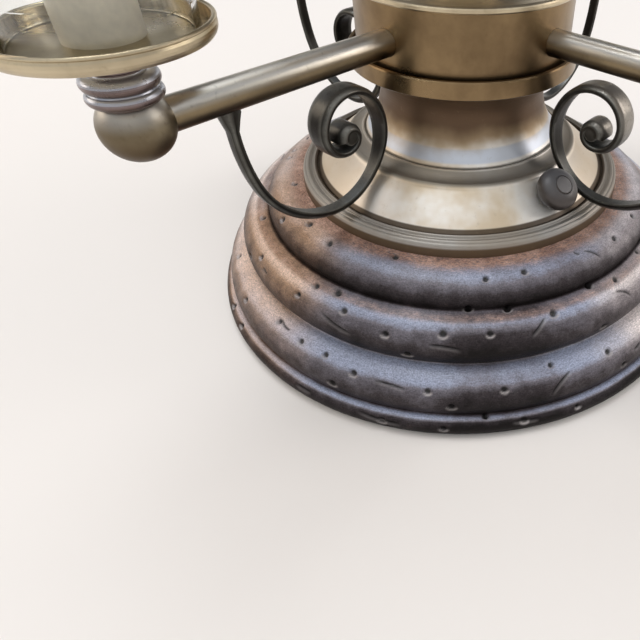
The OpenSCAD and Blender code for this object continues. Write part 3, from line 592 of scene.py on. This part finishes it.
class WoodSkin:
    """The wood's surface as a grid: rows go down the outline and columns go round the axis."""

    def __init__(self):
        outline = [(WELL_R, WOOD_H), (FLAT_R, WOOD_H)]
        for arc in WOOD_ARCS:
            outline += oval(*arc)
        line, self.s = resample(outline, WOOD_STEP)
        self.r, self.z = line[:, 0], line[:, 1]
        tangent = np.gradient(line, axis=0)
        tangent /= np.linalg.norm(tangent, axis=1)[:, None]
        self.nr, self.nz = -tangent[:, 1], tangent[:, 0]
        self.az = np.linspace(0, 2 * math.pi, WOOD_SEGS, endpoint=False)
        self.shape = (len(line), WOOD_SEGS)
        self.sink, self.pit, self.lip = np.zeros((3, *self.shape))

    def window(self, a, s0, reach):
        """Grid rows and columns round a mark, with their offsets along and down the wood."""
        i = np.where(abs(self.s - s0) < reach)[0]
        rad = np.interp(s0, self.s, self.r)
        half = int(reach / rad / (2 * math.pi / WOOD_SEGS)) + 1
        j = (int(round(a / (2 * math.pi) * WOOD_SEGS)) + np.arange(-half, half + 1)) % WOOD_SEGS
        da = (self.az[j] - a + math.pi) % (2 * math.pi) - math.pi
        return np.ix_(i, j), (da * rad)[None, :], (self.s[i] - s0)[:, None]

    def wormhole(self, a, s0, size, depth, turn):
        """A hole sunk in, with painted shade inside it and, below it, a painted highlight on its lit lip;
        both shift where the wood faces down.
        """
        grid, u, v = self.window(a, s0, size + 3.5)
        c, d = math.cos(turn), math.sin(turn)
        q = np.hypot((u * c + v * d) / (size * 1.15), (-u * d + v * c) / size)
        self.sink[grid] = np.maximum(self.sink[grid], depth / (1 + q ** 5))
        low = float(ease(np.interp(s0, self.s, self.nz), 0.5, 0.25))
        # Painted shade inside the hole, and a painted highlight on its lower lip
        shade = np.hypot(u / size, (v + (0.25 - 0.8 * low) * size) / size)
        self.pit[grid] = np.maximum(self.pit[grid], 1.15 / (1 + (shade / 0.95) ** 8))
        rim = np.exp(-((q - 1.1 - 0.4 * low) / 0.3) ** 2) * np.clip(1.4 * v / size, 0, 1) * (1 - 0.5 * low)
        self.lip[grid] = np.maximum(self.lip[grid], rim)

    def slash(self, a0, s0, a1, s1, bend, width, depth):
        """A bent cut that thins out at both ends, with a raised ridge along one side; painted shade in the
        cut and a painted highlight on the ridge.
        """
        am, sm = (a0 + a1) / 2, (s0 + s1) / 2
        rad = np.interp(sm, self.s, self.r)
        reach = max(abs(a1 - a0) * rad, abs(s1 - s0)) / 2 + 3 + abs(bend)
        grid, u, v = self.window(am, sm, reach)
        du, dv = (a1 - a0) * rad, s1 - s0
        length = math.hypot(du, dv)
        tu, tv = du / length, dv / length
        along = (u * tu + v * tv) / (length / 2)
        across = -u * tv + v * tu - bend * (1 - along ** 2)
        taper = np.clip(1 - along ** 4, 0, 1) * (abs(along) < 1)
        cut = np.exp(-(across / (width * 0.6)) ** 2) * taper
        ridge = np.exp(-((across - width) / (width * 0.6)) ** 2) * taper
        self.sink[grid] = np.maximum(self.sink[grid], depth * cut) - 0.2 * depth * ridge
        # Painted shade in the cut and a painted highlight along the ridge
        self.pit[grid] = np.maximum(self.pit[grid], np.clip(cut * 1.4 - 0.2, 0, 0.95))
        self.lip[grid] = np.maximum(self.lip[grid], 0.22 * ridge)

    def mark(self):
        rng = np.random.default_rng(7)
        for a, s0 in SEEN_HOLES:
            size, depth, turn = rng.uniform(1.2, 1.7), rng.uniform(1.3, 2.0), rng.uniform(-0.5, 0.5)
            self.wormhole(math.radians(a), s0, size, depth, turn)
        for _ in range(MORE_HOLES):
            a, s0 = math.radians(rng.uniform(*HOLE_ANGLES)), rng.choice(HOLE_ROWS) + rng.normal(0, 2.5)
            size, depth, turn = rng.uniform(1.0, 1.5), rng.uniform(1.2, 2.0), rng.uniform(-0.5, 0.5)
            self.wormhole(a, s0, size, depth, turn)
        for a0, s0, a1, s1, bend in SEEN_SLASHES:
            self.slash(math.radians(a0), s0, math.radians(a1), s1, bend, 1.0, 0.9)
        for _ in range(MORE_SLASHES):
            a, s0 = rng.uniform(*np.radians(SLASH_ANGLES)), rng.choice(SLASH_ROWS)
            da, ds = math.radians(rng.uniform(3, 6)), rng.uniform(-5, 5)
            bend, width = rng.choice([-1, 1]) * rng.uniform(0.4, 1.4), rng.uniform(0.7, 1.0)
            self.slash(a, s0, a + da, s0 + ds, bend, width, 0.7)

    def vertices(self):
        """The grid in millimetres, sunk by its marks and by a slight unevenness, and the inner rings."""
        s, az = self.s, self.az
        wobble = sum(0.09 * np.sin(k * az[None, :] + 1.7 * k + s[:, None] / (9 + k)) for k in (3, 5, 8, 13))
        fade = np.clip((s - 8) / 4, 0, 1) * np.clip((s[-1] - s) / 3, 0, 1)
        sink = (self.sink + (0.12 + np.clip(wobble, -0.12, 0.3) * 0.6)) * fade[:, None]
        r = self.r[:, None] - sink * self.nr[:, None]
        z = self.z[:, None] - sink * self.nz[:, None]
        rings = [np.stack([r * np.cos(az), r * np.sin(az), z], -1).reshape(-1, 3)]
        for inner_r, inner_z in INNER_RINGS:
            x, y = inner_r * np.cos(az), inner_r * np.sin(az)
            rings.append(np.stack([x, y, np.full(len(az), inner_z)], 1))
        return np.vstack(rings)

    def sector(self, middle, near, far):
        """1 within near degrees of a direction and 0 past far."""
        away = abs((np.degrees(self.az) - middle + 180) % 360 - 180)
        return ease(away, far, near)[None, :]

    def stain(self):
        """What the stain and the painted light and shade follow at each point of the grid."""
        s = self.s
        marks = [0] + [s[np.argmin(np.hypot(self.r - r, self.z - z))] for r, z in CREASES]
        c1, c2, c3 = marks[1:]
        painted_light = np.interp(s, [marks[k] + d for k, d, t in PAINTED_LIGHT_STOPS], [t for k, d, t in PAINTED_LIGHT_STOPS])
        painted_light = np.broadcast_to(painted_light[:, None], self.shape)
        # Less painted light in front below the first crease and at the right below the lip's crease
        painted_light = painted_light - 0.2 * self.sector(274, 6, 16) * ease(s, c1, c1 + 3)[:, None]
        painted_light -= 0.3 * self.sector(335, 25, 48) * ease(s, c3 + 2.5, c3 + 4)[:, None]
        # The red-brown band where the flange sits, and its echo below the first crease
        seat = np.clip(ease(s, 22, 11) + 0.5 * np.exp(-((s - c1 - 5.5) / 3) ** 2), 0, 1)
        # The tan side at the left, partly the stain and partly painted light, and a pale painted sheen at
        # the right and, weaker, at the left
        down = np.arange(1, len(s) + 1) / len(s)
        reach = 1 - 0.35 * ease(down, 0.55, 0.8) - 0.2 * ease(down, 0.42, 0.3)
        warm = self.sector(188, 26, 56) * reach[:, None]
        share = np.interp(s, [0, 20, c1, c1 + 3, c2, c2 + 12, c3 - 6, c3, s[-1]],
                          [0.8, 0.65, 0.5, 1.1, 0.8, 0.9, 0.5, 0.25, 0.0])
        pale = np.maximum(self.sector(334, 18, 50), 0.7 * self.sector(165, 12, 44)) * share[:, None]
        grain = np.stack([np.broadcast_to(45 * np.cos(self.az), self.shape),
                          np.broadcast_to(45 * np.sin(self.az), self.shape),
                          np.broadcast_to((2.2 * s)[:, None], self.shape)], -1)
        seat = np.broadcast_to(seat[:, None], self.shape)
        return {"pit": np.clip(self.pit, 0, 1), "lip": self.lip, "painted_light": painted_light, "seat": seat, "warm": warm,
                "pale": pale, "grain": grain}


def make_wood():
    skin = WoodSkin()
    skin.mark()
    rings = len(skin.s) + len(INNER_RINGS)
    k = np.arange(WOOD_SEGS)
    n = (k + 1) % WOOD_SEGS
    faces = []
    for i in range(rings):
        a, b = i * WOOD_SEGS, ((i + 1) % rings) * WOOD_SEGS
        faces.append(np.stack([b + k, b + n, a + n, a + k], 1))
    faces = np.concatenate(faces).tolist()
    obj = new_object("wood_rolls", skin.vertices() / 1000, faces, "lamp", wood, 60)
    for name, grid in skin.stain().items():
        values = grid.reshape(-1, *grid.shape[2:])
        inner = np.zeros((len(INNER_RINGS) * WOOD_SEGS, *grid.shape[2:]))
        store(obj, name, np.concatenate([values, inner]))
    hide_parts("wood_base")


make_wood()

# Scroll brackets: one strip along arcs of given radius and sweep, tightening into a snub curl
SCROLL_ARCS = [(80, 2), (80, 3), (80, 17), (42, 60), (28.5, 45), (29.5, 45), (26.5, 60), (15.8, 60),
               (14.2, 60), (13, 60), (9.2, 60), (6.2, 60), (4.6, 60), (4, 60), (3.6, 60), (3.2, 30)]
SCROLL_REACH, SCROLL_START = 126.8, -86
SCROLL_T, SCROLL_ROOT_T, SCROLL_SNUB_T = 3.4, 8, 5.6
SCROLL_ROOT, SCROLL_SNUB = 7, 12
SCROLL_WIDTHS = ((0, 5.5), (105, 6.0), (132, 9.92), (160, 12.4))
# Section of the strip in halves of its width and thickness, with how much each point is lightened, partly
# rubbed and partly painted highlight
SCROLL_SECTION = [
    (-0.9, -1, 0.3), (-0.45, -1.03, 0), (0, -1.04, 0), (0.45, -1.03, 0), (0.9, -1, 0.3), (0.97, -0.82, 0.6),
    (1, -0.6, 0.2), (1, -0.2, 0), (0.99, 0.14, 0.5), (0.93, 0.36, 1), (0.7, 0.86, 0.25), (0.6, 0.98, 0.6),
    (0.3, 1.01, 0), (0, 1.02, 0), (-0.3, 1.01, 0), (-0.6, 0.98, 0.6), (-0.7, 0.86, 0.25), (-0.93, 0.36, 1),
    (-0.99, 0.14, 0.5), (-1, -0.2, 0), (-1, -0.6, 0.2), (-0.97, -0.82, 0.6),
]
# How much painted light each strip gets on its outer side; the one at the front right gets most
SCROLL_LIT_SIDE = {1: 0.25, 2: 0.25, 3: 0.25, 4: 0.95}
# Plug in the middle of the curl: radius and share of the strip's half width, and points round it
EYE_R, EYE_TURNS = 3.5, 40
EYE_DOME = [(0.15, 0.99), (1.4, 0.985), (2.6, 0.965), (3.2, 0.94), (EYE_R, 0.88)]


def scroll_path(step=2.5):
    """Points down the strip's middle, as reach, height, heading and distance; it starts in the tube."""
    x, z, h, run = SCROLL_REACH, ARM_Z - ARM_R - 0.01, math.radians(SCROLL_START), 0.0
    out = [(SCROLL_REACH, ARM_Z - ARM_R / 2, math.radians(-90), 0.0), (x, z, h, run)]
    for radius, sweep in SCROLL_ARCS:
        n = max(1, round(sweep / step))
        for _ in range(n):
            d = math.radians(sweep / n)
            cx, cz = x + radius * math.sin(h), z - radius * math.cos(h)
            h -= d
            run += radius * d
            x, z = cx - radius * math.sin(h), cz + radius * math.cos(h)
            out.append((x, z, h, run))
    return out


def make_scroll(i):
    path = scroll_path()
    full = path[-1][3]
    er, en = arm_directions(i)
    verts, edge, lit_side = [], [], []
    for x, z, h, run in path:
        w = np.interp(run, *zip(*SCROLL_WIDTHS)) / 2
        t = np.interp(run, [0, SCROLL_ROOT, full - SCROLL_SNUB, full],
                      [SCROLL_ROOT_T, SCROLL_T, SCROLL_T, SCROLL_SNUB_T]) / 2
        ripple = 0.02 * math.sin(run * 0.21 + i) + 0.015 * math.sin(run * 0.57 + 2 * i)
        # Painted light on the outer side, growing along the sweep
        lit_share = SCROLL_LIT_SIDE[i] * (0.35 + 0.65 * float(ease(run, 80, 115)))
        for a, b, e in SCROLL_SECTION:
            a, b = a * w * (0.99 - 0.5 * abs(ripple)), b * t * (0.95 + ripple * (b > 0))
            p = er * (x - math.sin(h) * b) + en * a + Vector((0, 0, z + math.cos(h) * b))
            verts.append(p / 1000)
            edge.append(e * (0.7 + 12 * abs(ripple)))
            lit_side.append(lit_share * (b > 0))
    faces = ring_faces(len(path), len(SCROLL_SECTION))
    obj = new_object(f"scroll_strip_{i}", verts, faces, "lamp", bronze, 40)
    store(obj, "edge", edge)
    store(obj, "lit_side", lit_side)
    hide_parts(f"scroll_{i}")


def make_eye(i):
    x, z, h, _ = scroll_path()[-1]
    er, en = arm_directions(i)
    radius = SCROLL_ARCS[-1][0]
    middle = er * (x + radius * math.sin(h)) + Vector((0, 0, z - radius * math.cos(h)))
    side = SCROLL_WIDTHS[-1][1] / 2
    rings = [(r, a * side) for r, a in EYE_DOME] + [(r, -a * side) for r, a in reversed(EYE_DOME)]
    verts, edge = [], []
    for r, a in rings:
        for k in range(EYE_TURNS):
            q = 2 * math.pi * k / EYE_TURNS
            verts.append((middle + en * a + er * (r * math.cos(q)) + Vector((0, 0, r * math.sin(q)))) / 1000)
            # Lighter round the plug's rim, partly rubbed and partly painted highlight
            edge.append(1.0 if r > EYE_R - 0.4 else 0.2)
    faces = ring_faces(len(rings), EYE_TURNS)
    eye = new_object(f"scroll_eye_{i}", verts, faces, "lamp", bronze, 30)
    store(eye, "edge", edge)
    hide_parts(f"scroll_{i}")


for i in ARMS:
    make_scroll(i)
    make_eye(i)

# Bulbs: thin glass over a brass cap, with a filament on a stem
GLASS_T = 0.8
WIRE_R, WIRE_STEPS, WIRE_SIDES = 0.35, 90, 6
# How high each filament stands above its socket, and half its width
CANDLE_WIRE_UP, CANDLE_WIRE_HALF = 30, 6
MAIN_WIRE_UP, MAIN_WIRE_HALF = 48, 11


def bulb(name, node, at, cap_r, cap_z, glass_line, wire_z, wire_half):
    foot_z = glass_line[0][1]
    threads = [(cap_r - 0.35 * (k % 2), cap_z + 3 + (foot_z - cap_z - 4) * k / 12) for k in range(13)]
    cap_line = [(0, cap_z), (cap_r * 0.6, cap_z), (cap_r, cap_z + 2)] + threads
    cap_line += [(cap_r - 0.5, foot_z + 0.5), (0, foot_z + 0.5)]
    cap = lathe(f"{name}_cap", cap_line, "lamp", plain_brass, at, 48, closed=False)
    inside = [(max(0, r - GLASS_T), z - (GLASS_T if r < 1 else 0)) for r, z in reversed(glass_line)]
    shell = [(max(0.0, r), z) for r, z in glass_line + inside]
    globe = lathe(f"{name}_glass", shell, "lamp", bulb_glass, at, 64, closed=True)
    stem = [(0, foot_z), (3, foot_z), (2.2, wire_z - 12), (0, wire_z - 10)]
    post = lathe(f"{name}_stem", stem, "lamp", porcelain, at, 24, closed=False)
    verts = []
    for k in range(WIRE_STEPS + 1):
        a = math.pi * (k / WIRE_STEPS - 0.5)
        c = Vector((at[0] + wire_half * math.sin(a), at[1], wire_z - wire_half * 0.8 * math.cos(a) ** 2))
        for j in range(WIRE_SIDES):
            b = -2 * math.pi * j / WIRE_SIDES
            verts.append((c + Vector((0, WIRE_R * math.cos(b), WIRE_R * math.sin(b)))) / 1000)
    faces = ring_faces(WIRE_STEPS + 1, WIRE_SIDES)
    wire = new_object(f"{name}_filament", verts, faces, "lamp", filament)
    for piece in (globe, cap, post, wire):
        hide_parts(node)


def candle_glass(z):
    """Outline of the flame-shaped bulb from its foot to its tip."""
    widest, tip = (CANDLE_BULB_R, z + CANDLE_BULB_H * 0.34), (3, z + CANDLE_BULB_H * 0.92)
    line = [(CANDLE_CAP_R - 0.2, z + 0.6)] + bow((CANDLE_CAP_R + 1.4, z + 1.2), widest, -1.6, 14)
    line += bow((CANDLE_BULB_R, z + CANDLE_BULB_H * 0.36), tip, -3.2, 20)
    return line + bow((2.6, z + CANDLE_BULB_H * 0.94), (0, z + CANDLE_BULB_H), -0.4, 5)


def main_glass(z):
    """Outline of the round bulb from its foot to its top."""
    neck_top = z + MAIN_BULB_H - MAIN_BULB_R * 1.05
    line = [(MAIN_CAP_R - 0.4, z + 2)] + bow((MAIN_CAP_R + 0.4, z + 3), (MAIN_BULB_R, neck_top), 1, 14)
    return line + oval((0, z + MAIN_BULB_H - MAIN_BULB_R), MAIN_BULB_R, MAIN_BULB_R, 0, 90, 24)


for i in ARMS:
    a = arm_angle(i)
    bulb(f"candle_lamp_{i}", f"candle_bulb_{i}", (ARM_REACH * math.cos(a), ARM_REACH * math.sin(a)),
         CANDLE_CAP_R, SLEEVE_TOP - CANDLE_CAP_DEPTH, candle_glass(SLEEVE_TOP),
         SLEEVE_TOP + CANDLE_WIRE_UP, CANDLE_WIRE_HALF)
bulb("main_lamp", "main_bulb", (0, 0), MAIN_CAP_R, MAIN_SOCKET_TOP - MAIN_CAP_DEPTH,
     main_glass(MAIN_SOCKET_TOP), MAIN_SOCKET_TOP + MAIN_WIRE_UP, MAIN_WIRE_HALF)

# Floor, from the middle to its edges in metres
FLOOR = 3


def make_floor():
    corners = [(-FLOOR, -FLOOR, 0), (FLOOR, -FLOOR, 0), (FLOOR, FLOOR, 0), (-FLOOR, FLOOR, 0)]
    mesh = bpy.data.meshes.new("floor")
    mesh.from_pydata(corners, [], [(0, 1, 2, 3)])
    look = Shader("floor")
    colour = (0.83, 0.79, 0.75, 1)
    mesh.materials.append(look.finish(Base_Color=colour, Roughness=0.9, Specular_IOR_Level=0.1))
    floor = bpy.data.objects.new("floor", mesh)
    bpy.context.scene.collection.objects.link(floor)


def make_world():
    """Pale round the horizon, a dim band behind the object, bright above."""
    world = bpy.data.worlds.new("sky")
    bpy.context.scene.world = world
    world.use_nodes = True
    world.node_tree.nodes.clear()
    n = Nodes(world.node_tree)
    direction = n.add("ShaderNodeTexCoord").outputs["Generated"]
    tilt = n.add("ShaderNodeVectorMath", operation="DOT_PRODUCT")
    n.put(tilt, 0, direction)
    n.put(tilt, 1, (0, -0.5, 0.85))
    sky = n.ramp(tilt.outputs["Value"], (0.1, (0.2, 0.19, 0.19)), (0.4, (0.3, 0.3, 0.32)),
                 (0.6, (0.9, 0.96, 1.08)), (0.9, (1.7, 1.7, 1.7)))
    above = n.add("ShaderNodeMapRange")
    n.put(above, "Value", n.split(direction)["Z"])
    n.put(above, "From Min", 0.2)
    n.put(above, "From Max", 0.34)
    light = n.add("ShaderNodeBackground")
    n.put(light, "Color", n.mix(above.outputs["Result"], (1.52, 1.47, 1.41), sky))
    n.put(light, "Strength", 0.52)
    n.put(n.add("ShaderNodeOutputWorld"), "Surface", light.outputs[0])


def softbox(name, at, size, power, colour):
    """A panel in metres that shines at the lamp's foot."""
    data = bpy.data.lights.new(name, "AREA")
    data.shape = "RECTANGLE"
    data.size, data.size_y = size
    data.energy = power
    data.color = colour
    obj = bpy.data.objects.new(name, data)
    obj.location = at
    obj.rotation_euler = (Vector((0, 0, 0.1)) - Vector(at)).to_track_quat("-Z", "Y").to_euler()
    bpy.context.scene.collection.objects.link(obj)


def make_camera():
    turn, pitch, roll = (math.radians(v) for v in (CAMERA_TURN, CAMERA_PITCH, CAMERA_ROLL))
    forward = Vector((math.sin(turn) * math.cos(pitch), math.cos(turn) * math.cos(pitch), -math.sin(pitch)))
    level = Vector((math.cos(turn), -math.sin(turn), 0))
    across = level.cross(forward)
    right = math.cos(roll) * level + math.sin(roll) * across
    up = math.cos(roll) * across - math.sin(roll) * level
    x, y, z = (v / 1000 for v in CAMERA_MM)
    data = bpy.data.cameras.new("camera")
    data.lens, data.sensor_width = CAMERA_LENS, CAMERA_SENSOR
    data.shift_x, data.shift_y = CAMERA_SHIFT
    data.clip_start = CAMERA_NEAR
    camera = bpy.data.objects.new("camera", data)
    camera.matrix_world = Matrix((
        (right.x, up.x, -forward.x, x),
        (right.y, up.y, -forward.y, y),
        (right.z, up.z, -forward.z, z),
        (0, 0, 0, 1)))
    bpy.context.scene.collection.objects.link(camera)
    bpy.context.scene.camera = camera


make_floor()
make_world()
softbox("sky_panel", (-0.65, 0.75, 4.0), (2.5, 2.3), 91, (0.95, 0.97, 1.0))
softbox("left_panel", (-1.5, 0.1, 0.8), (0.8, 0.8), 5, (1.0, 0.86, 0.72))
softbox("right_panel", (1.5, 0.0, 0.8), (0.8, 0.8), 7, (1.0, 0.93, 0.88))
make_camera()
bpy.context.scene.view_settings.view_transform = "Standard"
